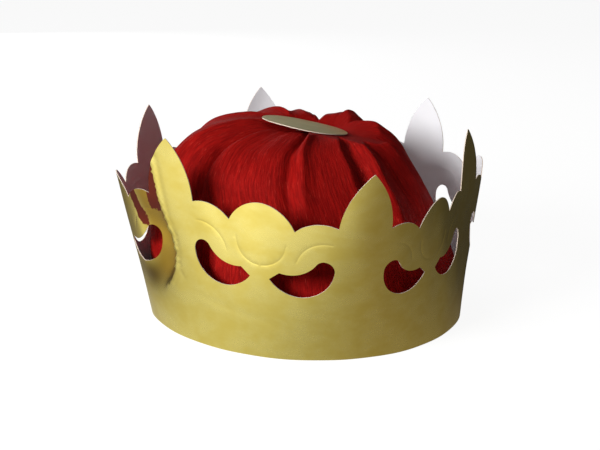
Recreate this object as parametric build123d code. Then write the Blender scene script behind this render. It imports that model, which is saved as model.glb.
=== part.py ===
"""A paper crown: a gold card band cut into petals and lobes, a gathered crepe bonnet and a card disc.

Millimetres, +Z up. The crown stands on its hem at z = 0, and the origin is the middle of the head
opening. The band was cut flat and then bent round, so its outline is given as it lies on the flat
card: "along" runs along the hem from the middle of a petal or of a tall lobe, and "up" is the height
on the card above the hem. card_point() puts such a place on the bent wall.
"""
import os
from math import cos, pi, radians, sin, sqrt

from build123d import *

# --- band -------------------------------------------------------------------------------------
HEAD_GIRTH = 597.0      # length of the hem, which goes round the head
PETALS = 6
FIRST_LOBE = 134.2      # direction of the first tall lobe, degrees from +X
CARD = 0.5              # thickness of the foil-faced card
FAN = 0.0019            # how much longer the card is, per millimetre up, than at the hem

PETAL_TOP = 117.8       # heights up the card
PETAL_FOOT = 84.8
TALL_LOBE_TOP = 90.8
LOW_LOBE_TOP = 85.4
LOBE_NOTCH = 78.3

PETAL_HALF = 15.9       # half widths along the card
PETAL_BULGE_HALF = 11.6 # at the middle of each side's curve
PETAL_BULGE_SHARE = 0.55 # and how far up from foot to top that is
PETAL_TIP_HALF = 0.8
PETAL_TIP_DROP = 0.5
TALL_LOBE_HALF = 18.5

# The bean-shaped cut-out, right of a tall lobe's middle, as (along, up).
BEAN_TIP = (5.4, 48.2)
BEAN_BOTTOM = (21.0, 39.9)
BEAN_SIDE = (40.7, 58.4)
BEAN_TOP = (35.6, 63.9)
BEAN_SHOULDER = (30.7, 61.4)
BEAN_HOLLOW = (21.0, 53.5)
BEAN_CORNER = (10.8, 52.7)
BEAN_MIDDLE = (22.0, 50.0)

# How the handled band stands, at twelve even places round it: a tall lobe, then a petal, and so on.
# (push out from a true circle, outward lean in degrees, sideways lean in degrees).
BAND_STANCE = [
    (0.0, 6.0, 1.5), (-6.5, 10.5, 2.0), (1.5, 13.5, 2.5), (0.3, 7.0, -1.5),
    (-0.3, 6.0, 1.5), (-0.8, 17.0, 0.5), (-1.3, 6.5, -2.0), (-0.5, 0.5, 1.5),
    (2.0, 9.0, 3.5), (1.0, 8.0, 3.0), (0.5, 10.0, 3.0), (-3.5, 14.5, 4.5),
]

# --- bonnet -----------------------------------------------------------------------------------
CREPE_GAP = 0.3         # between the crepe and the band's inner face, where it is stuck on
CREPE_BULK = 1.6        # thickness of the pleated crepe
BONNET_HEM = 3.0        # height of the crepe's lower edge
# The bonnet's rings, which are shaped like the hem: (height, share of the hem's size, shift right, shift back).
# It slumps to the left, and its crown is highest behind the disc.
BONNET_RINGS = [
    (BONNET_HEM, 1.0, 0.0, 0.0), (22.0, 0.98, 0.0, 0.0), (50.0, 0.91, -3.0, 0.0), (78.0, 0.82, -9.0, 0.0),
    (94.0, 0.74, -13.0, 0.0), (105.0, 0.62, -13.0, 2.0), (111.0, 0.48, -9.0, 5.0), (115.0, 0.30, -5.0, 9.0),
]

# --- disc -------------------------------------------------------------------------------------
DISC_DIAMETER = 52.0
DISC_MIDDLE = (-5.0, 0.0, 112.0)
DISC_TILT_BACK = 5.0    # front edge up, degrees
DISC_TILT_RIGHT = 9.0   # right edge down, degrees
DISC_GAP = 0.3

CUT_REACH = 25.0        # how far a cutter reaches through the wall
CUT_TOP = 20.0          # how far a cutter stands above the petals
WALL_SPARE = 2.0        # how far the uncut wall stands above the petals
CUT_SPREAD = 0.18       # how far a cutter leans over its neighbour, per millimetre up

places = len(BAND_STANCE)
places_per_petal = places // PETALS
hem_radius = HEAD_GIRTH / (2 * pi)
wall_top = PETAL_TOP + WALL_SPARE


def place_direction(place):
    """Unit vectors out from and along the hem at a place."""
    angle = radians(FIRST_LOBE) + 2 * pi * place / places
    return Vector(cos(angle), sin(angle), 0), Vector(-sin(angle), cos(angle), 0)


def stance_points(inset, height):
    """The band's outline at one level, moved inwards by an inset."""
    points = []
    for place, (push, lean, side_lean) in enumerate(BAND_STANCE):
        out, along = place_direction(place)
        slope = out * sin(radians(lean)) + along * sin(radians(side_lean))
        rise = sqrt(1 - slope.length ** 2)
        foot = out * (hem_radius + push - inset)
        points.append(foot + slope * (height / rise) + Vector(0, 0, height))
    return points


def closed_curve(points):
    """A smooth closed curve through one point per place, whose parameter is the share of the way round."""
    steps = [place / places for place in range(places + 1)]
    return Edge.make_spline(points, periodic=True, parameters=steps)


def ring_curve(inset, height):
    """The band's outline at one level as a smooth closed curve."""
    return closed_curve(stance_points(inset, height))


hem_curve = ring_curve(0, 0)
rim_curve = ring_curve(0, wall_top)


def wall_point(place, up):
    """A point of the wall's outer face, by its place round the band and its height up the card."""
    share = (place / places) % 1
    foot = hem_curve.position_at(share)
    rule = rim_curve.position_at(share) - foot
    return foot + rule.normalized() * up


def card_point(middle, along, up):
    """The wall's point that lies along millimetres from a middle place, at up on the flat card."""
    place_length = HEAD_GIRTH / places * (1 + FAN * up)
    return wall_point(middle + along / place_length, up)


def half_motif(up):
    """Length on the card from a petal's middle to the next tall lobe's middle."""
    return HEAD_GIRTH / PETALS / 2 * (1 + FAN * up)


def wall_plane(middle, along, up):
    """The plane that touches the wall there, with its normal outwards."""
    origin = card_point(middle, along, up)
    sideways = card_point(middle, along + 1, up) - card_point(middle, along - 1, up)
    upwards = card_point(middle, along, up + 1) - card_point(middle, along, up - 1)
    return Plane(origin=origin, x_dir=sideways, z_dir=sideways.cross(upwards))


def flat_places(plane, middle, spots):
    """Places on the card, laid on a plane square to the cut."""
    flat = []
    for along, up in spots:
        local = plane.to_local_coords(card_point(middle, along, up))
        flat.append(plane.from_local_coords((local.X, local.Y, 0)))
    return flat


def cutter(plane, edges):
    """A solid that cuts the closed outline through the wall."""
    return extrude(Face(Wire(edges)), amount=CUT_REACH, dir=plane.z_dir, both=True)


def petal_cutter(middle):
    """What is cut away round one petal and its two low lobes."""
    notch = half_motif(LOBE_NOTCH) - TALL_LOBE_HALF
    low_lobe_middle = (PETAL_HALF + notch) / 2
    bulge_up = PETAL_FOOT + PETAL_BULGE_SHARE * (PETAL_TOP - PETAL_FOOT)
    shoulder_up = PETAL_TOP - PETAL_TIP_DROP
    right = [
        (notch, LOBE_NOTCH), (low_lobe_middle, LOW_LOBE_TOP), (PETAL_HALF, PETAL_FOOT),
        (PETAL_BULGE_HALF, bulge_up), (PETAL_TIP_HALF, shoulder_up),
    ]
    left = [(-along, up) for along, up in reversed(right)]
    plane = wall_plane(middle, 0, PETAL_FOOT)
    spots = flat_places(plane, middle, right + [(0, PETAL_TOP)] + left)
    edges = [ThreePointArc(*spots[first:first + 3]) for first in (0, 2, 4, 6, 8)]
    height = PETAL_TOP + CUT_TOP - LOBE_NOTCH
    lift = plane.y_dir * height
    spread = plane.x_dir * height * CUT_SPREAD
    top_right = spots[0] + lift + spread
    top_left = spots[-1] + lift - spread
    edges += [Line(spots[-1], top_left), Line(top_left, top_right), Line(top_right, spots[0])]
    return cutter(plane, edges)


def tall_lobe_cutter(middle):
    """What is cut away above one tall lobe."""
    outline = [(TALL_LOBE_HALF, LOBE_NOTCH), (0, TALL_LOBE_TOP), (-TALL_LOBE_HALF, LOBE_NOTCH)]
    plane = wall_plane(middle, 0, LOBE_NOTCH)
    spots = flat_places(plane, middle, outline)
    height = PETAL_TOP + CUT_TOP - LOBE_NOTCH
    lift = plane.y_dir * height
    spread = plane.x_dir * height * CUT_SPREAD
    top_right = spots[0] + lift + spread
    top_left = spots[-1] + lift - spread
    edges = [ThreePointArc(*spots), Line(spots[-1], top_left), Line(top_left, top_right), Line(top_right, spots[0])]
    return cutter(plane, edges)


def bean_cutter(middle, side):
    """One bean-shaped hole, right (side 1) or left (side -1) of a tall lobe's middle."""
    outline = [BEAN_TIP, BEAN_BOTTOM, BEAN_SIDE, BEAN_TOP, BEAN_SHOULDER, BEAN_HOLLOW, BEAN_CORNER]
    mirrored = [(side * along, up) for along, up in outline]
    plane = wall_plane(middle, side * BEAN_MIDDLE[0], BEAN_MIDDLE[1])
    spots = flat_places(plane, middle, mirrored)
    edges = [ThreePointArc(*spots[first:first + 3]) for first in (0, 2, 4)]
    edges.append(Line(spots[-1], spots[0]))
    return cutter(plane, edges)


def ring_solid(inset):
    """The space inside the band's outer face, or inside a face set in from it."""
    levels = [Wire(ring_curve(inset, height)) for height in (0, wall_top)]
    return Solid.make_loft(levels, ruled=True)


def crown_band():
    band = ring_solid(0) - ring_solid(CARD)
    for petal in range(PETALS):
        lobe = petal * places_per_petal
        band -= tall_lobe_cutter(lobe)
        band -= petal_cutter(lobe + places_per_petal / 2)
        band -= bean_cutter(lobe, 1)
        band -= bean_cutter(lobe, -1)
    return band


def disc_plane():
    """The plane of the disc's underside."""
    return Plane(DISC_MIDDLE).rotated((DISC_TILT_BACK, DISC_TILT_RIGHT, 0))


def top_disc():
    return extrude(disc_plane() * Circle(DISC_DIAMETER / 2), amount=CARD)


def bonnet_body(inset):
    """The bonnet's outer form, or the hollow in it, as a stack of rings like the hem."""
    wires = []
    for height, share, right, back in BONNET_RINGS:
        points = []
        for point in stance_points(CARD + CREPE_GAP + inset, 0):
            points.append(Vector(point.X * share + right, point.Y * share + back, height - inset))
        wires.append(Wire(closed_curve(points)))
    return Solid.make_loft(wires)


def crepe_bonnet():
    seat = disc_plane().offset(-DISC_GAP)
    pressing = extrude(seat * Circle(DISC_DIAMETER / 2 + DISC_GAP), amount=PETAL_TOP)
    pressed_hollow = extrude(seat.offset(-CREPE_BULK) * Circle(DISC_DIAMETER / 2 + CREPE_BULK), amount=PETAL_TOP)
    return bonnet_body(0) - pressing - (bonnet_body(CREPE_BULK) - pressed_hollow)


os.makedirs("parts", exist_ok=True)
for name, shape in (("crown_band", crown_band()), ("crepe_bonnet", crepe_bonnet()), ("top_disc", top_disc())):
    export_step(shape, f"parts/{name}.step")
    print(name, round(shape.volume), shape.bounding_box())
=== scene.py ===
"""A paper crown: gold card band, gathered red crepe bonnet and a card disc on top.

Lengths are millimetres until a mesh is made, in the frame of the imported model. The band's outline is
given as it lies on the flat card: "along" from the middle of a petal or tall lobe, and "up" from the hem.
"""
from math import atan2, cos, hypot, pi, radians, sin, sqrt

import bmesh
import bpy
import numpy as np
from mathutils import Matrix, Vector
from mathutils.geometry import delaunay_2d_cdt


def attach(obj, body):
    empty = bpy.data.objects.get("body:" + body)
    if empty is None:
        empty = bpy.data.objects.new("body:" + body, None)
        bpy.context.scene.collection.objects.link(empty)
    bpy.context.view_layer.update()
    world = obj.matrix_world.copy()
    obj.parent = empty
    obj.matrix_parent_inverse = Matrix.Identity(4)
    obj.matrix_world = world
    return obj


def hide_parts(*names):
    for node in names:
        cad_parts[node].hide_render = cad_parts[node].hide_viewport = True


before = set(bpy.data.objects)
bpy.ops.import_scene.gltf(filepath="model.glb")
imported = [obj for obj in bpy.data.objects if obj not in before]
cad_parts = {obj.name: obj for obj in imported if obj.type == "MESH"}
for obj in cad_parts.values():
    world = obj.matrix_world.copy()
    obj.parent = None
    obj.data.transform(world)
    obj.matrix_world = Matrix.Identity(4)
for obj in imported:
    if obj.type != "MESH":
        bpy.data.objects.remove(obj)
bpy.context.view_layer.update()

MM = 0.001
CARD_UNIT = 100.0       # millimetres of card or sheet to one unit of its flat map

# --- the band as it was cut ---------------------------------------------------------------------
HEAD_GIRTH = 597.0
PETALS = 6
FIRST_LOBE = 134.2
CARD = 0.5
FAN = 0.0019
PETAL_TOP, PETAL_FOOT, TALL_LOBE_TOP, LOW_LOBE_TOP, LOBE_NOTCH = 117.8, 84.8, 90.8, 85.4, 78.3
PETAL_HALF, PETAL_TIP_HALF, PETAL_TIP_DROP, TALL_LOBE_HALF = 15.9, 0.8, 0.5, 18.5
PETAL_BULGE_HALF, PETAL_BULGE_SHARE = 11.6, 0.55
PETAL_BULGE = (PETAL_BULGE_HALF, PETAL_FOOT + PETAL_BULGE_SHARE * (PETAL_TOP - PETAL_FOOT))
LOBE_SHOULDER_SHARE, LOBE_SHOULDER_UP = 0.75, 85.0
BEAN = [(5.4, 48.2), (21.0, 39.9), (40.7, 58.4), (35.6, 63.9), (30.7, 61.4), (21.0, 53.5), (10.8, 52.7)]
WALL_TOP = PETAL_TOP + 2.0

# How the handled band stands at twelve places: push out, outward lean and sideways lean in degrees.
BAND_STANCE = [
    (0.0, 6.0, 1.5), (-6.5, 10.5, 2.0), (1.5, 13.5, 2.5), (0.3, 7.0, -1.5),
    (-0.3, 6.0, 1.5), (-0.8, 17.0, 0.5), (-1.3, 6.5, -2.0), (-0.5, 0.5, 1.5),
    (2.0, 9.0, 3.5), (1.0, 8.0, 3.0), (0.5, 10.0, 3.0), (-3.5, 14.5, 4.5),
]
PLACES = len(BAND_STANCE)
PLACE_LENGTH = HEAD_GIRTH / PLACES
HEM_RADIUS = HEAD_GIRTH / (2 * pi)

# Each petal's place and how far its tip has curled inwards.
PETAL_CURLS = {1: 5.5, 3: 2.0, 5: 1.5, 7: 3.0, 9: 1.0, 11: 5.5}
DENTED_PETAL = 3

# --- mesh and relief ----------------------------------------------------------------------------
EDGE_STEP = 1.2
GRID_STEP = 1.9
CLEAR_OF_EDGE = 0.8
EMBOSS_DEPTH = 0.14
EMBOSS_WIDTH = 0.4
EMBOSS_RAILS = (-0.75, -0.35, 0.0, 0.35, 0.75)


def closed_spline(points):
    """A smooth closed curve through evenly numbered points, as a function of an array of place numbers."""
    points = np.array(points, float)
    count = len(points)
    eye = np.eye(count)
    system = 4 * eye + np.roll(eye, 1, axis=0) + np.roll(eye, -1, axis=0)
    corners = np.roll(points, 1, axis=0) + np.roll(points, -1, axis=0) - 2 * points
    bends = np.linalg.solve(system, 6 * corners)

    def at(place):
        place = np.asarray(place, float)
        whole = np.floor(place).astype(int)
        part = (place - whole)[..., None]
        here, after = whole % count, (whole + 1) % count
        rest = 1 - part
        flat = rest * points[here] + part * points[after]
        return flat + ((rest ** 3 - rest) * bends[here] + (part ** 3 - part) * bends[after]) / 6

    return at


def stance_points(inset, height):
    """The band's outline at one level, moved inwards by an inset."""
    points = []
    for place, (push, lean, side_lean) in enumerate(BAND_STANCE):
        angle = radians(FIRST_LOBE) + 2 * pi * place / PLACES
        out = np.array((cos(angle), sin(angle), 0))
        along = np.array((-sin(angle), cos(angle), 0))
        slope = out * sin(radians(lean)) + along * sin(radians(side_lean))
        rise = sqrt(1 - slope @ slope)
        points.append(out * (HEM_RADIUS + push - inset) + slope * height / rise + np.array((0, 0, height)))
    return points


hem_curve = closed_spline(stance_points(0, 0))
rim_curve = closed_spline(stance_points(0, WALL_TOP))


def lengths(vectors):
    return np.linalg.norm(vectors, axis=-1, keepdims=True)


def smooth_wall(place, up):
    """Points of the undamaged wall's outer face."""
    foot = hem_curve(place)
    rule = rim_curve(place) - foot
    return foot + rule / lengths(rule) * np.asarray(up, float)[..., None]


def place_of(middle, along, up):
    return middle + along / (PLACE_LENGTH * (1 + FAN * up))


def along_from(middle, place, up):
    """Length on the card from a middle place, the short way round."""
    turn = (place - middle + PLACES / 2) % PLACES - PLACES / 2
    return turn * PLACE_LENGTH * (1 + FAN * up)


def step01(value, low, high):
    """0 below low, 1 above high, with a smooth rise between."""
    share = np.clip((value - low) / (high - low), 0, 1)
    return share * share * (3 - 2 * share)


def arc_points(first, middle, last, step):
    """Points along the circle through three points of the card, from the first up to the last."""
    (ax, ay), (bx, by), (cx, cy) = first, middle, last
    turn = 2 * (ax * (by - cy) + bx * (cy - ay) + cx * (ay - by))
    squares = ax * ax + ay * ay, bx * bx + by * by, cx * cx + cy * cy
    x = (squares[0] * (by - cy) + squares[1] * (cy - ay) + squares[2] * (ay - by)) / turn
    y = (squares[0] * (cx - bx) + squares[1] * (ax - cx) + squares[2] * (bx - ax)) / turn
    radius = hypot(ax - x, ay - y)
    start, end = atan2(ay - y, ax - x), atan2(cy - y, cx - x)
    sweep = (end - start) % (2 * pi)
    if (atan2(by - y, bx - x) - start) % (2 * pi) > sweep:
        sweep -= 2 * pi
    count = max(2, round(abs(sweep) * radius / step))
    angles = [start + sweep * i / count for i in range(count + 1)]
    return [(x + radius * cos(a), y + radius * sin(a)) for a in angles]


def chain(points, closed=False):
    """Arcs through every three points in turn, and a straight line home if the outline is closed."""
    outline = []
    for i in range(0, len(points) - 2, 2):
        outline += arc_points(*points[i:i + 3], EDGE_STEP)[:-1]
    if closed:
        (ax, ay), (bx, by) = points[-1], points[0]
        count = max(2, round(hypot(bx - ax, by - ay) / EDGE_STEP))
        outline += [(ax + (bx - ax) * i / count, ay + (by - ay) * i / count) for i in range(count)]
    else:
        outline.append(points[-1])
    return outline


# Embossed lines as circles on the card: (along, up, radius, start and end angle in degrees). The U is
# placed from the middle of a tall lobe, the small arc from the middle of a petal, on both sides of it.
U_ARC = (0.0, 69.4, 14.0, 182, 358)
SMALL_ARC = (19.5, 58.5, 16.2, 8, 96)
EMBOSS_FADE = 3.0


def circle_run(arc, step, offset=0.0):
    x, y, radius, start, end = arc
    count = round(radians(end - start) * radius / step)
    spots = []
    for i in range(count + 1):
        angle = radians(start + (end - start) * i / count)
        spots.append((x + (radius + offset) * cos(angle), y + (radius + offset) * sin(angle)))
    return spots


def near_arc(along, up, arc):
    """How deep the embossing of one arc is there, from 0 to 1."""
    x, y, radius, start, end = arc
    off = np.hypot(along - x, up - y) - radius
    angle = np.degrees(np.arctan2(up - y, along - x)) % 360
    beyond = np.maximum(np.maximum(start - angle, angle - end), 0)
    return np.exp(-(off / EMBOSS_WIDTH) ** 2) * np.exp(-(beyond / EMBOSS_FADE) ** 2)


def near_line(along, up, points, width):
    """1 on a given crease, falling off over a width; the crease fades towards both ends."""
    points = np.array(points, float)
    best = np.full(np.shape(along), np.inf)
    share_at = np.zeros(np.shape(along))
    for i, (a, b) in enumerate(zip(points[:-1], points[1:])):
        run = b - a
        share = np.clip(((along - a[0]) * run[0] + (up - a[1]) * run[1]) / (run @ run), 0, 1)
        far = np.hypot(along - a[0] - share * run[0], up - a[1] - share * run[1])
        share_at = np.where(far < best, (i + share) / (len(points) - 1), share_at)
        best = np.minimum(best, far)
    fade = step01(share_at, 0, 0.12) * (1 - step01(share_at, 0.88, 1))
    return np.exp(-(best / width) ** 2) * fade


# The dent left of the dented petal: its ridge, and the creases round it, as (along, up) from that petal.
DENT_RIDGE = [
    (-13.5, 116), (-10.5, 101), (-8.5, 87), (-6.0, 70), (-2.5, 60), (-1.0, 52), (-3.0, 42), (-7.0, 34),
    (-15.0, 25),
]
SECOND_CREASE = [(0.7, 69), (1.8, 60), (1.3, 52), (2.1, 45), (3.8, 39), (5.7, 35)]
LOWER_CREASE = [(8.0, 31), (28.0, 27), (52.0, 23), (67.0, 19), (85.0, 10)]
DENT_DEPTH = 5.0
DENT_REACH = 27.0
DENT_SHAPE_FADE = (60, 84)
# Heights between which the painted darker, more orange tone in the dent fades out.
DENT_PAINTED_TONE_FADE = (84, 108)
RIDGE_HEIGHT, RIDGE_WIDTH = 0.45, 1.1
VALLEY_DEPTH, VALLEY_WIDTH, VALLEY_SHIFT = 0.35, 0.9, 3.0
SECOND_DEPTH, SECOND_WIDTH = 0.22, 0.6
LOWER_DEPTH, LOWER_WIDTH = 0.15, 1.5

# The small crumple at the ridge's foot: its middle and half sizes as (along, up), and its height.
KNOT_MIDDLE = (-8.0, 33.0)
KNOT_SIZE = (2.6, 2.2)
KNOT_HEIGHT = 0.55

# Waves of the handled card: (height, waves round the band, slant with height up it, shift).
BODY_WAVES = [(0.16, 9, 0.05, 0.0), (0.11, 17, -0.07, 1.3)]
UPPER_WAVE = (0.07, 31, 0.11, 0.6)


def ridge_along(up):
    ups = [spot[1] for spot in reversed(DENT_RIDGE)]
    alongs = [spot[0] for spot in reversed(DENT_RIDGE)]
    return np.interp(up, ups, alongs)


def dent_share(along, up, fade):
    """Share of the dent's depth left of the dented petal's ridge, fading out between two heights."""
    inside = ridge_along(up) - along
    share = np.clip(inside / DENT_REACH, 0, 1)
    across = np.where(inside > 0, np.sin(pi * share ** 0.5), 0)
    return across * step01(up, 20, 44) * (1 - step01(up, *fade))


def dent(along, up):
    """How far the wall is pushed in left of the dented petal's ridge."""
    return DENT_DEPTH * dent_share(along, up, DENT_SHAPE_FADE)


def card_wave(wave, round_it, up):
    height, count, slant, shift = wave
    return height * np.sin(count * round_it + slant * up + shift)


def relief(place, up):
    """How far the outer face stands out from the smooth wall: curls, dent, creases and embossing."""
    height = np.zeros(np.broadcast(place, up).shape)
    for petal, curl in PETAL_CURLS.items():
        along = along_from(petal, place, up)
        rise = np.clip((up - PETAL_FOOT) / (PETAL_TOP - PETAL_FOOT), 0, 1)
        height -= curl * rise ** 1.6 * (np.abs(along) < PLACE_LENGTH / 2)
        for side in (1, -1):
            height -= EMBOSS_DEPTH * near_arc(side * along, up, SMALL_ARC)
    for lobe in range(0, PLACES, 2):
        height -= EMBOSS_DEPTH * near_arc(along_from(lobe, place, up), up, U_ARC)
    along = along_from(DENTED_PETAL, place, up)
    height -= dent(along, up)
    height += RIDGE_HEIGHT * near_line(along, up, DENT_RIDGE, RIDGE_WIDTH)
    valley = near_line(along - VALLEY_SHIFT, up, DENT_RIDGE, VALLEY_WIDTH)
    height -= VALLEY_DEPTH * valley * step01(up, 24, 34)
    height -= SECOND_DEPTH * near_line(along, up, SECOND_CREASE, SECOND_WIDTH)
    height -= LOWER_DEPTH * near_line(along, up, LOWER_CREASE, LOWER_WIDTH)
    knot_along = (along - KNOT_MIDDLE[0]) / KNOT_SIZE[0]
    knot_up = (up - KNOT_MIDDLE[1]) / KNOT_SIZE[1]
    knot = np.exp(-knot_along ** 2 - knot_up ** 2)
    height += KNOT_HEIGHT * knot * np.sin(along * 1.9 + up * 1.3)
    round_it = place * 2 * pi / PLACES
    for wave in BODY_WAVES:
        height += card_wave(wave, round_it, up)
    height += card_wave(UPPER_WAVE, round_it, up) * step01(up, 5, 40)
    return height


def wall(place, up):
    """Points and outward normals of the handled wall's outer face."""
    place, up = np.asarray(place, float), np.asarray(up, float)
    nudge, lift = 0.1 / PLACE_LENGTH, 0.1

    def plain(p, u):
        across = smooth_wall(p + nudge, u) - smooth_wall(p - nudge, u)
        upwards = smooth_wall(p, u + lift) - smooth_wall(p, u - lift)
        normal = np.cross(across, upwards)
        return smooth_wall(p, u), normal / lengths(normal)

    def bent(p, u):
        spot, normal = plain(p, u)
        return spot + normal * relief(p, u)[..., None]

    across = bent(place + nudge, up) - bent(place - nudge, up)
    upwards = bent(place, up + lift) - bent(place, up - lift)
    normal = np.cross(across, upwards)
    return bent(place, up), normal / lengths(normal)


def rows_between(start, end, step):
    count = max(1, round((end - start) / step))
    return [start + (end - start) * i / count for i in range(count + 1)]


def motif_outlines():
    """One repeat of the pattern, from a tall lobe's middle to the next, as flat (place length, up) points.

    Returns the outer edge, the two bean holes and the loose points that carry the grid and embossing.
    """
    def spread(middle, spots, side=1):
        return [(place_of(middle, side * along, up) * PLACE_LENGTH, up) for along, up in spots]

    notch = HEAD_GIRTH / PETALS / 2 * (1 + FAN * LOBE_NOTCH) - TALL_LOBE_HALF
    shoulder = (PETAL_TIP_HALF, PETAL_TOP - PETAL_TIP_DROP)
    lobe_shoulder = (TALL_LOBE_HALF * LOBE_SHOULDER_SHARE, LOBE_SHOULDER_UP)
    lobe_half = arc_points((0, TALL_LOBE_TOP), lobe_shoulder, (TALL_LOBE_HALF, LOBE_NOTCH), EDGE_STEP)
    petal_half = chain([
        (notch, LOBE_NOTCH), ((PETAL_HALF + notch) / 2, LOW_LOBE_TOP), (PETAL_HALF, PETAL_FOOT),
        PETAL_BULGE, shoulder])
    left = spread(0, lobe_half)[:-1] + spread(1, petal_half, -1) + [(PLACE_LENGTH, PETAL_TOP)]
    right = spread(1, petal_half)[::-1] + spread(2, lobe_half, -1)[-2::-1]
    top = left + right
    side_ups = rows_between(0, TALL_LOBE_TOP, GRID_STEP)[1:-1]
    hem = [(x, 0.0) for x in rows_between(0, 2 * PLACE_LENGTH, EDGE_STEP)]
    right_side = [(2 * PLACE_LENGTH, up) for up in side_ups]
    left_side = [(0.0, up) for up in reversed(side_ups)]
    edge = hem + right_side + top[::-1] + left_side
    bean = chain(BEAN, closed=True)
    beans = [spread(0, bean), spread(2, bean, -1)]
    rails = []
    for offset in EMBOSS_RAILS:
        small = circle_run(SMALL_ARC, EDGE_STEP, offset)
        rails += spread(1, small) + spread(1, small, -1)
        half_u = [spot for spot in circle_run(U_ARC, EDGE_STEP, offset) if spot[0] > 0.4]
        rails += spread(0, half_u) + spread(2, half_u, -1)
    return edge, beans, rails


def inside(spot, outline):
    x, y = spot
    within = False
    for (ax, ay), (bx, by) in zip(outline, outline[1:] + outline[:1]):
        if (ay > y) != (by > y) and x < ax + (y - ay) * (bx - ax) / (by - ay):
            within = not within
    return within


def motif_triangles():
    """Flat points and triangles of one repeat of the pattern."""
    edge, beans, rails = motif_outlines()
    fixed = np.array(edge + beans[0] + beans[1])
    rails = [spot for spot in rails if np.hypot(*(fixed - spot).T).min() > CLEAR_OF_EDGE]
    kept = np.array(edge + beans[0] + beans[1] + rails)
    loose = []
    for row, up in enumerate(np.arange(GRID_STEP, PETAL_TOP, GRID_STEP * 0.87)):
        for x in np.arange(GRID_STEP * (0.5 + 0.5 * (row % 2)), 2 * PLACE_LENGTH, GRID_STEP):
            if np.hypot(*(kept - (x, up)).T).min() > CLEAR_OF_EDGE and inside((x, up), edge):
                if not any(inside((x, up), bean) for bean in beans):
                    loose.append((x, up))
    points = edge + beans[0] + beans[1] + rails + loose
    segments, start = [], 0
    for outline in (edge, *beans):
        count = len(outline)
        segments += [(start + i, start + (i + 1) % count) for i in range(count)]
        start += count
    flat = [Vector(spot) for spot in points]
    spots, _, faces, *_ = delaunay_2d_cdt(flat, segments, [], 1, 1e-5)
    spots = [tuple(spot) for spot in spots]
    kept_faces = []
    for face in faces:
        centre = tuple(sum(spots[i][axis] for i in face) / len(face) for axis in (0, 1))
        if inside(centre, edge) and not any(inside(centre, bean) for bean in beans):
            kept_faces.append(list(face))
    return spots, kept_faces


def new_mesh(name, points, faces, face_materials, materials, sharp=(), uvs=None, uv_name="card"):
    """A mesh object from millimetre points, smooth but for its sharp edges, riding on the root body."""
    mesh = bpy.data.meshes.new(name)
    mesh.from_pydata((np.array(points) * MM).tolist(), [], faces)
    for material in materials:
        mesh.materials.append(material)
    mesh.polygons.foreach_set("material_index", face_materials)
    mesh.polygons.foreach_set("use_smooth", [True] * len(faces))
    if uvs is not None:
        layer = mesh.uv_layers.new(name=uv_name)
        corners = np.zeros(len(mesh.loops), int)
        mesh.loops.foreach_get("vertex_index", corners)
        layer.data.foreach_set("uv", np.array(uvs)[corners].ravel())
    if sharp:
        wanted = {tuple(sorted(pair)) for pair in sharp}
        flags = [tuple(sorted(edge.vertices)) in wanted for edge in mesh.edges]
        mesh.attributes.new("sharp_edge", "BOOLEAN", "EDGE").data.foreach_set("value", flags)
    mesh.validate()
    mesh.update()
    piece = bpy.data.objects.new(name, mesh)
    bpy.context.scene.collection.objects.link(piece)
    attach(piece, "root")
    return piece


def make_band(foil, back, raw_edge):
    spots, faces = motif_triangles()
    index, flat, all_faces = {}, [], []
    for repeat in range(PETALS):
        numbers = []
        for x, up in spots:
            place = (x / PLACE_LENGTH + repeat * PLACES / PETALS) % PLACES
            key = (round(place * 1e3) % (PLACES * 1000), round(up * 1e2))
            if key not in index:
                index[key] = len(flat)
                flat.append((place, up))
            numbers.append(index[key])
        all_faces += [[numbers[i] for i in face] for face in faces]
    all_faces = [face for face in all_faces if len(set(face)) == len(face)]
    place, up = np.array(flat).T
    outer, normal = wall(place, up)
    inner = outer - normal * CARD
    inner[:, 2] = np.maximum(inner[:, 2], 0)
    outer[:, 2] = np.maximum(outer[:, 2], 0)
    count = len(flat)
    used = {}
    for face in all_faces:
        for a, b in zip(face, face[1:] + face[:1]):
            used[(a, b)] = used.get((a, b), 0) + 1
    rim = [(a, b) for a, b in used if (b, a) not in used]
    back_faces = [[i + count for i in reversed(face)] for face in all_faces]
    rim_faces = [[b, a, a + count, b + count] for a, b in rim]
    points = np.vstack([outer, inner])
    kinds = [0] * len(all_faces) + [1] * len(back_faces) + [2] * len(rim_faces)
    sharp = rim + [(a + count, b + count) for a, b in rim]
    uvs = np.vstack([np.stack([place * PLACE_LENGTH, up], -1)] * 2) / CARD_UNIT
    every_face = all_faces + back_faces + rim_faces
    band = new_mesh("gold_band", points, every_face, kinds, (foil, back, raw_edge), sharp, uvs)
    along = along_from(DENTED_PETAL, place, up)
    # Amounts kept at the band's points: dark red-brown patches, painted shade below the dent and along its
    # creases, and painted shade and reflection in the dent.
    marks = {
        "dark_red_patch": dark_red_patches(along, up), "shade": shaded(along, up),
        "dent_shade_and_reflection": dent_share(along, up, DENT_PAINTED_TONE_FADE)}
    for mark, amount in marks.items():
        layer = band.data.attributes.new(mark, "FLOAT", "POINT")
        layer.data.foreach_set("value", np.concatenate([amount, 0 * amount]))
    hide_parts("crown_band")


def dark_red_patches(along, up):
    """Where the foil beside the dent is coloured dark red-brown, from 0 to 1."""
    ridge = ridge_along(up)
    petal_side = step01(ridge - along, 0.0, 2.0) * step01(up, 70, 80) * (1 - step01(up, 98, 108))
    petal_side *= step01(along, -19, -17)
    slant = along + 29 + (up - 73) * 0.4
    lobe_side = np.exp(-(slant / 4.6) ** 2) * step01(up, 58, 68)
    return np.maximum(petal_side, lobe_side)


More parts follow.
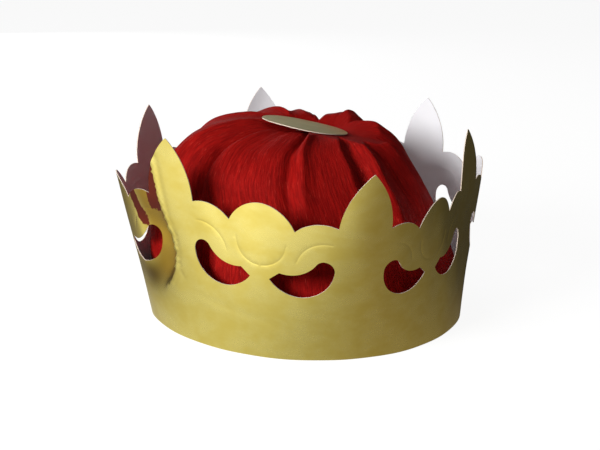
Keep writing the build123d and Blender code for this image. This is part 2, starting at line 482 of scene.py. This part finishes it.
def shaded(along, up):
    """Where the foil below and beside the dent, and along its creases, gets painted shade, from 0 to 1."""
    foot = np.exp(-((along + 27) / 15) ** 2 - ((up - 32) / 10) ** 2)
    crease = near_line(along + 1.5, up, DENT_RIDGE, 1.0) * step01(up, 24, 34) * (1 - step01(up, 50, 66))
    fork = near_line(along, up, SECOND_CREASE, 0.7)
    return np.clip(foot + 0.55 * crease + 0.25 * fork, 0, 1)


# --- the crepe bonnet ---------------------------------------------------------------------------
CREPE_GAP = 0.9
CREPE_THICK = 0.35
BONNET_ROUND = 384
BONNET_ROWS = 104
# Rings shaped like the hem: (height, share of the hem's size, shift right, shift back).
BONNET_RINGS = [
    (3.0, 1.0, 0.0, 0.0), (22.0, 0.98, 0.0, 0.0), (50.0, 0.91, -3.0, 0.0), (78.0, 0.82, -9.0, 0.0),
    (94.0, 0.74, -13.0, 0.0), (105.0, 0.62, -13.0, 2.0), (110.5, 0.48, -9.0, 4.0), (112.5, 0.34, -5.0, 5.0),
    (110.5, 0.20, -3.0, 3.0), (108.5, 0.05, -2.0, 0.0),
]
# Folds: (direction by the disc, direction at the foot, half width, in degrees; out or in by; lowest and
# highest share of the way up).
FOLDS = [
    (-174, -174, 34, 8.0, 0.02, 0.46), (-152, -157, 7, 5.0, 0.30, 0.90), (-134, -142, 5, -8.5, 0.30, 0.92),
    (-124, -128, 8, 2.6, 0.34, 0.88), (-117, -117, 4, -2.6, 0.12, 0.58), (-110, -109, 4, -2.8, 0.10, 0.54),
    (-88, -94, 4, -3.6, 0.26, 0.93), (-82, -87, 5, 3.6, 0.34, 0.93), (-59, -58, 5, 2.2, 0.28, 0.86),
    (-51, -50, 6, -6.0, 0.24, 0.87), (-42, -42, 5, 4.2, 0.26, 0.91), (-29, -28, 5, -2.8, 0.30, 0.91),
    (-16, -15, 8, 2.8, 0.30, 0.87), (-2, -2, 6, -3.5, 0.34, 0.91), (14, 13, 8, 3.0, 0.42, 0.89),
    (30, 30, 5, -3.0, 0.45, 0.91), (47, 45, 13, 4.6, 0.50, 0.89), (74, 76, 6, -4.5, 0.40, 0.92),
    (92, 92, 7, 2.0, 0.40, 0.88), (112, 108, 11, 3.6, 0.50, 0.89), (134, 138, 7, -4.5, 0.38, 0.90),
    (152, 158, 8, 3.0, 0.36, 0.90),
]
GATHERS = 44
WRINKLES = 90
SHEET_HEIGHT = 160.0
bonnet_foot = closed_spline(stance_points(CARD + CREPE_GAP, 0))


def ring_reaches():
    """How far up the sheet each ring is."""
    rings = np.array(BONNET_RINGS)
    runs = np.hypot(np.diff(rings[:, 0]), HEM_RADIUS * np.diff(rings[:, 1]))
    return np.concatenate([[0.0], np.cumsum(runs)])


def bonnet_surface(turn, share):
    """Points of the crepe for a direction (in degrees) and a share of the way from hem to middle."""
    rings = np.array(BONNET_RINGS)
    steps = ring_reaches() / ring_reaches()[-1]

    def ring_value(column):
        return smooth_through(steps, rings[:, column], share)

    height, size, right, back = (ring_value(column) for column in range(4))
    place = ((turn - FIRST_LOBE) / 360 * PLACES) % PLACES
    foot = bonnet_foot(place)
    return np.stack([foot[..., 0] * size + right, foot[..., 1] * size + back, height], -1)


def smooth_through(knots, values, where):
    """A smooth run through values at knots that overshoots little (monotone slopes)."""
    runs = np.diff(values) / np.diff(knots)
    slopes = np.zeros(len(values))
    both = runs[:-1] * runs[1:]
    slopes[1:-1] = np.where(both > 0, 2 * both / np.where(both > 0, runs[:-1] + runs[1:], 1), 0)
    slopes[0], slopes[-1] = runs[0], runs[-1]
    i = np.clip(np.searchsorted(knots, where) - 1, 0, len(knots) - 2)
    width = knots[i + 1] - knots[i]
    t = (where - knots[i]) / width
    return ((1 + 2 * t) * (1 - t) ** 2 * values[i] + t * (1 - t) ** 2 * width * slopes[i]
            + t * t * (3 - 2 * t) * values[i + 1] + t * t * (t - 1) * width * slopes[i + 1])


def fold_relief(turn, share):
    """How far the folds lift the crepe from the smooth bonnet."""
    height = np.zeros(turn.shape)
    for top, foot, half, depth, low, high in FOLDS:
        middle = foot + (top - foot) * step01(share, 0.1, 0.85)
        off = np.abs((turn - middle + 180) % 360 - 180) / (half * (1.35 - 0.5 * share))
        bump = np.exp(-1.6 * off ** 1.5)
        height += depth * bump * step01(share, low, low + 0.25) * (1 - 0.8 * step01(share, high - 0.12, high))
    rng = np.random.default_rng(7)
    for _ in range(GATHERS):
        middle, half = rng.uniform(-180, 180), rng.uniform(2.0, 5.0)
        depth, low = rng.uniform(-1.3, 1.3), rng.uniform(0.55, 0.78)
        depth *= 1.0 if -45 < middle < 170 else 0.55
        off = (turn - middle + 180) % 360 - 180
        height += depth * np.exp(-1.6 * np.abs(off / half) ** 1.5) * step01(share, low, low + 0.18)
    for _ in range(WRINKLES):
        middle, half = rng.uniform(-180, 180), rng.uniform(1.2, 3.4)
        depth, centre, spread = rng.uniform(-0.5, 0.5), rng.uniform(0.1, 0.7), rng.uniform(0.06, 0.2)
        tilt = rng.uniform(-12, 12)
        off = (turn - middle - tilt * (share - centre) + 180) % 360 - 180
        height += depth * np.exp(-(off / half) ** 2 - ((share - centre) / spread) ** 2)
    return height * step01(share, 0.0, 0.12) * (1 - 0.7 * step01(share, 0.93, 1.0))


def make_bonnet(crepe):
    turns = np.linspace(-180, 180, BONNET_ROUND, endpoint=False)
    shares = np.linspace(0, 1, BONNET_ROWS)
    turn, share = np.meshgrid(turns, shares)
    base = bonnet_surface(turn, share)
    turn_nudge, share_nudge = 0.2, 0.004
    across = bonnet_surface(turn + turn_nudge, share) - bonnet_surface(turn - turn_nudge, share)
    higher, lower = np.minimum(share + share_nudge, 1), np.maximum(share - share_nudge, 0)
    upwards = bonnet_surface(turn, higher) - bonnet_surface(turn, lower)
    normal = np.cross(across, upwards)
    normal /= lengths(normal)
    points = base + normal * fold_relief(turn, share)[..., None]
    points = press_under_disc(points).reshape(-1, 3)
    faces = []
    for row in range(BONNET_ROWS - 1):
        for i in range(BONNET_ROUND):
            a, b = row * BONNET_ROUND + i, row * BONNET_ROUND + (i + 1) % BONNET_ROUND
            faces.append([a, b, b + BONNET_ROUND, a + BONNET_ROUND])
    last = (BONNET_ROWS - 1) * BONNET_ROUND
    faces.append([last + i for i in range(BONNET_ROUND)])
    strip = np.stack([(turn + 180) / 360 * HEAD_GIRTH, share * SHEET_HEIGHT], -1).reshape(-1, 2) / CARD_UNIT
    bonnet = new_mesh("crepe_lining", points, faces, [0] * len(faces), (crepe,), uvs=strip, uv_name="sheet")
    solid = bonnet.modifiers.new("thickness", "SOLIDIFY")
    solid.thickness = CREPE_THICK * MM
    solid.offset = -1
    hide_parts("crepe_bonnet")


# --- the disc -----------------------------------------------------------------------------------
DISC_RADIUS = 26.0
DISC_CLEAR = -0.6
DISC_MIDDLE = Vector((-5.0, 0.0, 112.0))
DISC_TURN = Matrix.Rotation(radians(-5), 3, "X") @ Matrix.Rotation(radians(9), 3, "Y")


def press_under_disc(points):
    """Keeps the crepe under the disc, and in front of it low enough to leave its edge in sight."""
    normal = np.array(DISC_TURN @ Vector((0, 0, 1)))
    rel = points - np.array(DISC_MIDDLE)
    above = rel @ normal
    aside = rel - above[..., None] * normal
    away = np.linalg.norm(aside, axis=-1)
    behind = step01(aside[..., 1] / np.maximum(away, 1), -0.1, 0.7)
    allowed = DISC_CLEAR + (0.02 + 0.9 * behind) * np.maximum(away - DISC_RADIUS - 1, 0)
    allowed += 40 * step01(away, DISC_RADIUS + 22, DISC_RADIUS + 45)
    return points + (np.minimum(above, allowed) - above)[..., None] * normal


def make_disc(foil, raw_edge):
    rings, around = 14, 96
    points, faces, kinds = [], [], []
    for level in (CARD, 0.0):
        for ring in range(rings + 1):
            radius = DISC_RADIUS * ring / rings
            for i in range(around):
                angle = 2 * pi * i / around
                x, y = radius * cos(angle), radius * sin(angle)
                warp = 0.25 * sin(x / 9 + 0.6) * cos(y / 11)
                points.append(DISC_MIDDLE + DISC_TURN @ Vector((x, y, level + warp)))
    layer = (rings + 1) * around
    for side in (0, 1):
        for ring in range(rings):
            for i in range(around):
                a, b = ring * around + i, ring * around + (i + 1) % around
                face = [a, a + around, b + around, b]
                face = [corner + side * layer for corner in face]
                faces.append(face[::-1] if side else face)
                kinds.append(side * 2)
    outer = rings * around
    for i in range(around):
        a, b = outer + i, outer + (i + 1) % around
        faces.append([a, a + layer, b + layer, b])
        kinds.append(1)
    sharp = [(outer + i, outer + (i + 1) % around) for i in range(around)]
    sharp += [(a + layer, b + layer) for a, b in sharp]
    flat = [((p - DISC_MIDDLE).x / CARD_UNIT, (p - DISC_MIDDLE).y / CARD_UNIT) for p in points]
    spots = [tuple(p) for p in points]
    disc = new_mesh("foil_disc", spots, faces, kinds, (foil, raw_edge, raw_edge), sharp, flat)
    tidy = bmesh.new()
    tidy.from_mesh(disc.data)
    bmesh.ops.remove_doubles(tidy, verts=tidy.verts, dist=0.01 * MM)
    tidy.to_mesh(disc.data)
    tidy.free()
    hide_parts("top_disc")


# --- materials ----------------------------------------------------------------------------------
class Value:
    """A shader value that Python arithmetic works on; each step adds its node."""

    def __init__(self, tree, socket):
        self.tree, self.socket = tree, socket

    def maths(self, operation, *others):
        return add_node(self.tree, "Math", {"operation": operation}, dict(enumerate((self, *others))))

    def __add__(self, other):
        return self.maths("ADD", other)

    def __mul__(self, other):
        return self.maths("MULTIPLY", other)

    def __sub__(self, other):
        return self.maths("SUBTRACT", other)

    def __rsub__(self, other):
        return (self * -1) + other

    def __pow__(self, other):
        return self.maths("POWER", other)

    __radd__, __rmul__ = __add__, __mul__

    def between(self, low, high):
        """0 below low, 1 above high, with a smooth rise."""
        inputs = {"Value": self, "From Min": low, "From Max": high}
        return add_node(self.tree, "MapRange", {"interpolation_type": "SMOOTHSTEP"}, inputs)


def add_node(tree, kind, settings, inputs, out=0):
    """Adds one node: its settings first, then the values or links of its sockets."""
    node = tree.nodes.new("ShaderNode" + kind)
    for name, value in settings.items():
        setattr(node, name, value)
    set_inputs(tree, node, inputs)
    return Value(tree, node.outputs[out])


def mix_colours(tree, share, first, second):
    """Between two colours; sockets 6 and 7 are the Mix node's colour inputs, and output 2 its colour."""
    settings = {"data_type": "RGBA"}
    return add_node(tree, "Mix", settings, {0: share, 6: first, 7: second}, out=2)


def colour(red, green, blue):
    return (red, green, blue, 1.0)


def new_material(name):
    material = bpy.data.materials.new(name)
    material.use_nodes = True
    tree = material.node_tree
    return material, tree, tree.nodes["Principled BSDF"]


def set_inputs(tree, node, inputs):
    for name, value in inputs.items():
        if isinstance(value, Value):
            tree.links.new(value.socket, node.inputs[name])
        else:
            node.inputs[name].default_value = value


def stretched_noise(tree, uv_name, across, along, detail=3.0, roughness=0.55, distortion=0.0):
    """Noise on the flat sheet, with its own scale across and along it (in a tenth of a metre)."""
    spot = add_node(tree, "UVMap", {"uv_map": uv_name}, {})
    place = add_node(tree, "Mapping", {}, {"Vector": spot, "Scale": (across, along, 1.0)})
    inputs = {
        "Vector": place, "Scale": 1.0, "Detail": detail, "Roughness": roughness, "Distortion": distortion}
    return add_node(tree, "TexNoise", {}, inputs)


def bump(tree, height, strength, distance):
    return add_node(tree, "Bump", {}, {"Height": height, "Strength": strength, "Distance": distance * MM})


def mark_on_card(tree, name):
    """One of the amounts kept at the band's points; output 2 is the Attribute node's plain value."""
    return add_node(tree, "Attribute", {"attribute_name": name}, {}, out=2)


def foil_material(name, bright, deep, roughness, dented):
    """Satin metal foil on card, with fine grain and slight mottling; on the band, painted shade and a painted
    darker, more orange reflection tone in and below the dent, and dark red-brown patches beside it.
    """
    material, tree, shader = new_material(name)
    mottle = stretched_noise(tree, "card", 7, 9, 4.0)
    grain = stretched_noise(tree, "card", 60, 220, 4.0, 0.7)
    scratch = stretched_noise(tree, "card", 90, 4, 2.0, 0.5)
    tone = mix_colours(tree, mottle.between(0.35, 0.7), bright, deep)
    rough = roughness + 0.10 * mottle - 0.05 + 0.10 * (grain - 0.5) + 0.05 * scratch.between(0.60, 0.75)
    if dented:
        # Painted shade and reflection: a darker, more orange tone in the dent, standing in for light that
        # bounces twice in the foil.
        dent_shade_and_reflection = mark_on_card(tree, "dent_shade_and_reflection")
        tone = mix_colours(tree, dent_shade_and_reflection.between(0.05, 0.8) * 0.9, tone, colour(0.50, 0.30, 0.035))
        # Painted shade below and beside the dent and along its creases.
        shade = mark_on_card(tree, "shade")
        tone = mix_colours(tree, shade * 0.9, tone, colour(0.15, 0.085, 0.015))
        # Dark red-brown patches beside the dent, with a ragged edge and a rougher finish.
        dark = mark_on_card(tree, "dark_red_patch")
        ragged = stretched_noise(tree, "card", 40, 30, 5.0, 0.7)
        mask = (dark + 0.9 * (ragged - 0.5)).between(0.44, 0.54)
        tone = mix_colours(tree, mask, tone, colour(0.20, 0.035, 0.02))
        rough = rough + 0.15 * mask
    ripple = stretched_noise(tree, "card", 22, 16, 2.0, 0.5, 0.6)
    normal = bump(tree, grain * 0.05 + ripple + mottle * 0.4, 0.35, 0.10)
    set_inputs(tree, shader, {"Base Color": tone, "Metallic": 1.0, "Roughness": rough, "Normal": normal})
    return material


def card_back_material():
    """The white card inside, a little uneven, with faint fibres."""
    material, tree, shader = new_material("white_card")
    cloud = stretched_noise(tree, "card", 5, 5, 3.0)
    fibre = stretched_noise(tree, "card", 160, 90, 4.0, 0.7)
    tone = mix_colours(tree, cloud, colour(0.80, 0.80, 0.83), colour(0.86, 0.86, 0.88))
    set_inputs(tree, shader, {"Base Color": tone, "Roughness": 0.55, "Normal": bump(tree, fibre, 0.25, 0.04)})
    return material


def raw_edge_material():
    """The cut edge of the card: pale, with the core's pinkish tint."""
    material, tree, shader = new_material("raw_edge")
    speck = stretched_noise(tree, "card", 120, 120, 3.0, 0.7)
    tone = mix_colours(tree, speck, colour(0.66, 0.52, 0.40), colour(0.74, 0.64, 0.55))
    set_inputs(tree, shader, {"Base Color": tone, "Roughness": 0.8})
    return material


def crepe_material():
    """Matt crepe paper: fine upright crinkles with pale raised fibres, and painted shade, a deeper red, in
    the grooves between them.
    """
    material, tree, shader = new_material("red_crepe")
    crinkle = stretched_noise(tree, "sheet", 70, 8, 4.0, 0.62, 0.5)
    cloud = stretched_noise(tree, "sheet", 9, 6, 3.0, 0.6, 0.4)
    fibre = stretched_noise(tree, "sheet", 150, 16, 2.0, 0.6)
    fleck = stretched_noise(tree, "sheet", 190, 110, 3.0, 0.7)
    # The crinkles' grooves get a darker red as painted shade; their crests keep the crepe's own red.
    groove_shade, crest = colour(0.17, 0.0015, 0.0012), colour(0.34, 0.006, 0.004)
    tone = mix_colours(tree, crinkle.between(0.30, 0.72), groove_shade, crest)
    tone = mix_colours(tree, cloud.between(0.3, 0.75) * 0.35, tone, colour(0.22, 0.002, 0.0016))
    tone = mix_colours(tree, fibre.between(0.60, 0.74) * 0.55, tone, colour(0.55, 0.045, 0.03))
    height = crinkle + fibre * 0.5 + fleck * 0.35
    normal = bump(tree, height, 0.75, 0.6)
    set_inputs(tree, shader, {
        "Base Color": tone, "Roughness": 0.66 + 0.15 * fleck, "Normal": normal, "Specular IOR Level": 0.06})
    return material


# --- the stage ----------------------------------------------------------------------------------
CAMERA_AWAY = 746 * MM
CAMERA_ELEVATION = radians(16.3)
CAMERA_ROLL = radians(2.05)
BRIGHT_SIDE = radians(-130)
# Warm tint of the floor's painted reflection glow on its dim side.
DIM_SIDE_TINT = (1.0, 0.86, 0.74, 1.0)
AIM = Vector((0, 0, 50 * MM))


def make_camera():
    camera = bpy.data.objects.new("camera", bpy.data.cameras.new("camera"))
    bpy.context.scene.collection.objects.link(camera)
    back = Vector((0, -cos(CAMERA_ELEVATION), sin(CAMERA_ELEVATION)))
    camera.location = AIM + back * CAMERA_AWAY
    turn = (-back).to_track_quat("-Z", "Y").to_matrix() @ Matrix.Rotation(CAMERA_ROLL, 3, "Z")
    camera.rotation_euler = turn.to_euler()
    camera.data.sensor_width = 36
    camera.data.lens = 73
    camera.data.shift_x = -0.016
    camera.data.clip_end = 20
    bpy.context.scene.camera = camera


def soft_lamp(name, place, size, power):
    lamp = bpy.data.objects.new(name, bpy.data.lights.new(name, "AREA"))
    bpy.context.scene.collection.objects.link(lamp)
    lamp.location = place
    lamp.rotation_euler = (AIM - Vector(place)).to_track_quat("-Z", "Y").to_euler()
    lamp.data.shape = "DISK"
    lamp.data.size = size
    lamp.data.energy = power


def shown_rays(tree):
    """Three values, each 1 for its rays: straight from the camera, mirrored by gloss, and through glass."""
    kinds = ("Is Camera Ray", "Is Glossy Ray", "Is Transmission Ray")
    return [add_node(tree, "LightPath", {}, {}, out=kind) for kind in kinds]


def pointing(tree, where, angle):
    """How far a place or direction points to one side of the room, from -1 to 1."""
    flat = add_node(tree, "VectorMath", {"operation": "MULTIPLY"}, {0: where, 1: (1, 1, 0)})
    way = add_node(tree, "VectorMath", {"operation": "NORMALIZE"}, {0: flat})
    towards = (cos(angle), sin(angle), 0)
    return add_node(tree, "VectorMath", {"operation": "DOT_PRODUCT"}, {0: way, 1: towards}, out=1)


def room_glow(facing, behind, peak, dimming):
    """What metal mirrors of the pale room: a bright front left that falls off to a dim back and right."""
    glow = 0.075 + 0.13 * (facing + 1.0) + peak * facing.maths("MAXIMUM", 0.0) ** 4.0
    return glow * (1.0 - dimming * behind.between(-0.1, 0.5))


def make_world():
    """A plain studio: white behind the object, brighter to the front left than to the back right."""
    world = bpy.data.worlds.new("studio")
    bpy.context.scene.world = world
    world.use_nodes = True
    tree = world.node_tree
    camera, glossy, clear = shown_rays(tree)
    way = add_node(tree, "TexCoord", {}, {})
    facing = pointing(tree, way, BRIGHT_SIDE)
    mirrored = 0.04 + room_glow(facing, pointing(tree, way, radians(90)), 0.5, 0.3)
    fill = 0.05 + 0.05 * (facing + 1.0)
    strength = camera + (glossy + clear) * mirrored + (1.0 - camera - glossy - clear) * fill
    tree.links.new(strength.socket, tree.nodes["Background"].inputs["Strength"])
    tree.nodes["Background"].inputs["Color"].default_value = colour(1, 1, 1)


def make_floor():
    """A pale floor that reads as white and keeps the soft shadow; for glossy and transmission rays it glows
    as a painted reflection of the room, brighter to the front left and dimmer and warmer to the back right.
    """
    mesh = bpy.data.meshes.new("floor")
    far = 6.0
    mesh.from_pydata([(-far, -far, 0), (far, -far, 0), (far, far, 0), (-far, far, 0)], [], [(0, 1, 2, 3)])
    floor = bpy.data.objects.new("floor", mesh)
    bpy.context.scene.collection.objects.link(floor)
    material, tree, shader = new_material("floor")
    shader.inputs["Base Color"].default_value = colour(0.8, 0.8, 0.8)
    shader.inputs["Roughness"].default_value = 0.9
    shader.inputs["Specular IOR Level"].default_value = 0.0
    camera, glossy, clear = shown_rays(tree)
    where = add_node(tree, "NewGeometry", {}, {})
    facing = pointing(tree, where, BRIGHT_SIDE)
    away = add_node(tree, "VectorMath", {"operation": "LENGTH"}, {0: where}, out=1)
    peak = 0.30 + 0.50 * away.between(0.13, 0.30)
    mirrored = room_glow(facing, pointing(tree, where, radians(90)), peak, 0.55)
    # Painted reflection of the room: the floor glows for glossy and transmission rays, brighter to the front
    # left, dimmer and warmer to the back right.
    glow = camera * 1.15 + (glossy + clear) * mirrored
    pale = camera + (1.0 - camera) * facing.between(0.2, 1.0)
    tint = mix_colours(tree, pale, DIM_SIDE_TINT, colour(1, 1, 1))
    lit = add_node(tree, "Emission", {}, {"Color": tint, "Strength": glow})
    white = 0.8 * camera + 0.95 * (glossy + clear)
    mixed = add_node(tree, "MixShader", {}, {0: white, 1: Value(tree, shader.outputs[0]), 2: lit})
    tree.links.new(mixed.socket, tree.nodes["Material Output"].inputs["Surface"])
    mesh.materials.append(material)


foil = foil_material("gold_foil", colour(0.93, 0.78, 0.22), colour(0.86, 0.69, 0.15), 0.29, True)
dull_foil = foil_material("disc_foil", colour(0.72, 0.65, 0.35), colour(0.66, 0.59, 0.30), 0.42, False)
white_card = card_back_material()
raw_edge = raw_edge_material()
make_band(foil, white_card, raw_edge)
make_bonnet(crepe_material())
make_disc(dull_foil, raw_edge)
make_camera()
soft_lamp("key", (-0.75, -0.85, 0.50), 0.5, 17.0)
soft_lamp("top", (-0.25, 0.10, 1.1), 0.6, 1.5)
soft_lamp("rear", (-0.45, 1.05, 0.40), 0.8, 3.0)
make_world()
make_floor()
bpy.context.scene.view_settings.view_transform = "Standard"
